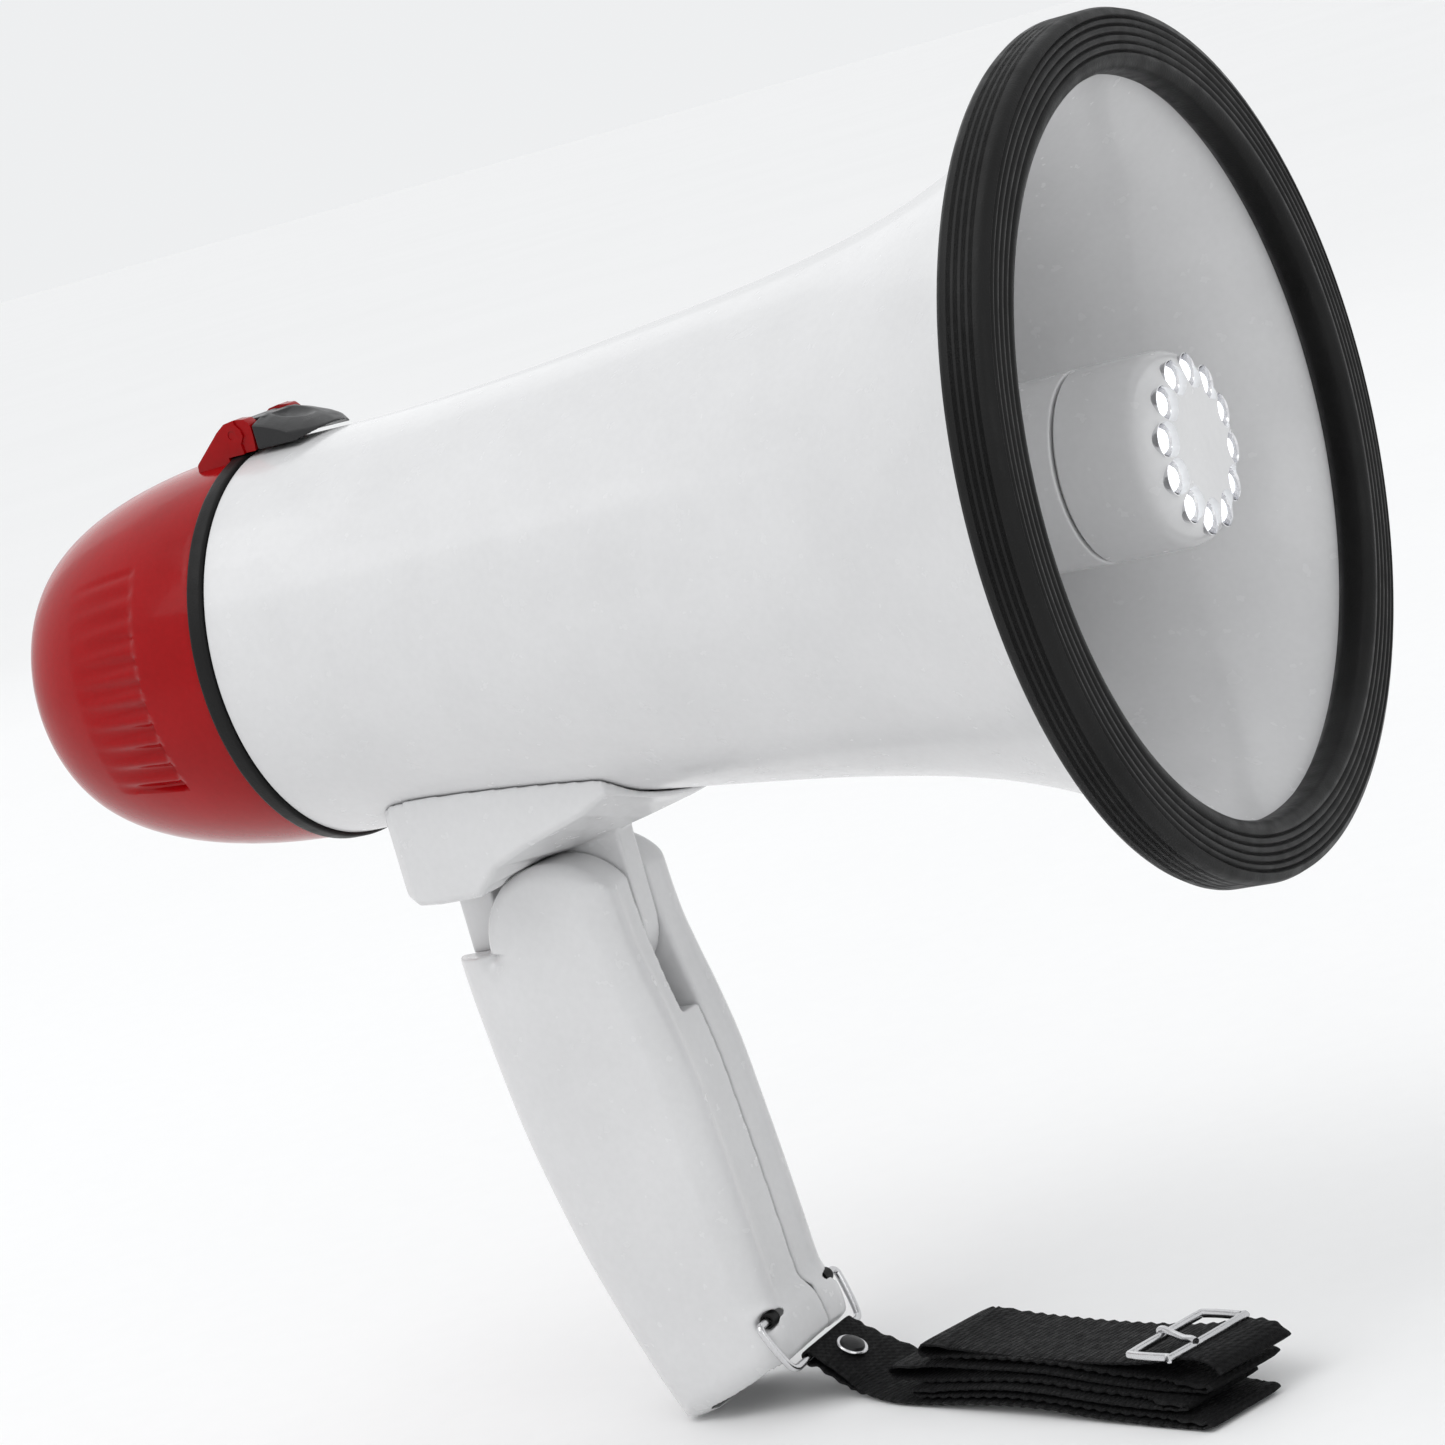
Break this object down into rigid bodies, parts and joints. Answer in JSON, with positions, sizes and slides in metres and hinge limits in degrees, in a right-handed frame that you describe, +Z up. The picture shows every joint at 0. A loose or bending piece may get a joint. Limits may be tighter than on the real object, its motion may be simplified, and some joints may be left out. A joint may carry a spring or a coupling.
{
  "type": "handheld megaphone",
  "caption": "Handheld megaphone: flared bell with lit tone reflector, red rear cap on a latch, folding pistol handle under a saddle, wire loop and folded wrist strap.",
  "frame": {"origin": "centre of the hand grip, between the two handle shells", "axes": "+X along the horn axis towards the mouth, +Z up from the grip to the horn, +Y to the far side of the picture"},
  "size_m": [0.2628, 0.16, 0.2492],
  "materials": {
    "white_shell": "glossy off-white moulding",
    "black_rubber": "satin black rubber",
    "red_plastic": "glossy red, slightly see-through",
    "black_plastic": "fine-grained black",
    "bright_steel": "nickel plated",
    "black_webbing": "woven nylon",
    "board_green": "solder mask",
    "clear_lens": "clear domes",
    "cell_wrap": "printed sleeve",
    "dark_metal": "ferrite and blackened steel"
  },
  "bodies": {
    "handle": {"handle_near_shell": "white_shell", "handle_far_shell": "white_shell", "pivot_pin": "bright_steel", "handle_screw_1": "bright_steel", "handle_screw_2": "bright_steel", "grommet_near": "black_rubber", "grommet_far": "black_rubber"},
    "horn": {"horn_shell": "white_shell", "rim_bumper": "black_rubber", "gasket": "black_rubber", "bulkhead": "white_shell", "tone_reflector": "white_shell", "throat_tube": "white_shell", "reflector_spider": "white_shell", "light_head": "white_shell", "led_board": "board_green", "led_1": "clear_lens", "led_2": "clear_lens", "led_3": "clear_lens", "led_4": "clear_lens", "led_5": "clear_lens", "led_6": "clear_lens", "led_7": "clear_lens", "led_8": "clear_lens", "led_9": "clear_lens", "led_10": "clear_lens", "led_11": "clear_lens", "led_12": "clear_lens", "driver_housing": "black_plastic", "driver_diaphragm": "cell_wrap", "driver_magnet": "dark_metal", "circuit_board": "board_green", "battery_tray": "black_plastic", "battery_1": "cell_wrap", "battery_2": "cell_wrap", "battery_3": "cell_wrap", "battery_4": "cell_wrap", "saddle": "white_shell", "talk_switch": "black_plastic"},
    "talk_button": {"talk_button": "red_plastic"},
    "mode_switch": {"mode_switch": "black_plastic"},
    "rear_cap": {"rear_cap": "red_plastic", "mic_grille": "black_plastic", "microphone": "dark_metal", "contact_plate": "bright_steel", "latch_pin": "bright_steel"},
    "latch_lever": {"latch_lever": "black_plastic"},
    "volume_knob": {"volume_knob": "black_plastic"},
    "wire_loop": {"wire_loop": "bright_steel"},
    "wrist_strap": {"strap_lead": "black_webbing", "strap_bundle": "black_webbing", "buckle_frame": "bright_steel", "buckle_tongue": "bright_steel"}
  },
  "joints": [
    {"name": "handle_fold", "type": "hinge", "parent": "handle", "child": "horn", "pos_m": [-0.0015, 0, 0.052], "axis": [0, 1, 0], "range_deg": [0, 75]},
    {"name": "talk_press", "type": "slide", "parent": "horn", "child": "talk_button", "axis": [1, 0, 0], "range_m": [0, 0.0025], "stiffness_N_per_m": 400},
    {"name": "mode_slide", "type": "slide", "parent": "horn", "child": "mode_switch", "axis": [1, 0, 0], "range_m": [-0.004, 0.004]},
    {"name": "cap_slide", "type": "slide", "parent": "horn", "child": "rear_cap", "axis": [-1, 0, 0], "range_m": [0, 0.03]},
    {"name": "latch_swing", "type": "hinge", "parent": "rear_cap", "child": "latch_lever", "pos_m": [-0.0446, 0, 0.1643], "axis": [0, -1, 0], "range_deg": [0, 70]},
    {"name": "volume_turn", "type": "hinge", "parent": "rear_cap", "child": "volume_knob", "pos_m": [-0.102, 0, 0.1105], "axis": [-1, 0, 0], "range_deg": [0, 270]},
    {"name": "loop_swing", "type": "hinge", "parent": "handle", "child": "wire_loop", "pos_m": [0.0203, 0, -0.0302], "axis": [0, -1, 0], "range_deg": [0, 30]},
    {"name": "strap_swing", "type": "hinge", "parent": "wire_loop", "child": "wrist_strap", "pos_m": [0.0242, 0, -0.0403], "axis": [0, 1, 0], "range_deg": [0, 129]}
  ],
  "couplings": [
    {"joint": "loop_swing", "follows": "handle_fold", "ratio": 0.4},
    {"joint": "strap_swing", "follows": "handle_fold", "ratio": 1.72}
  ]
}
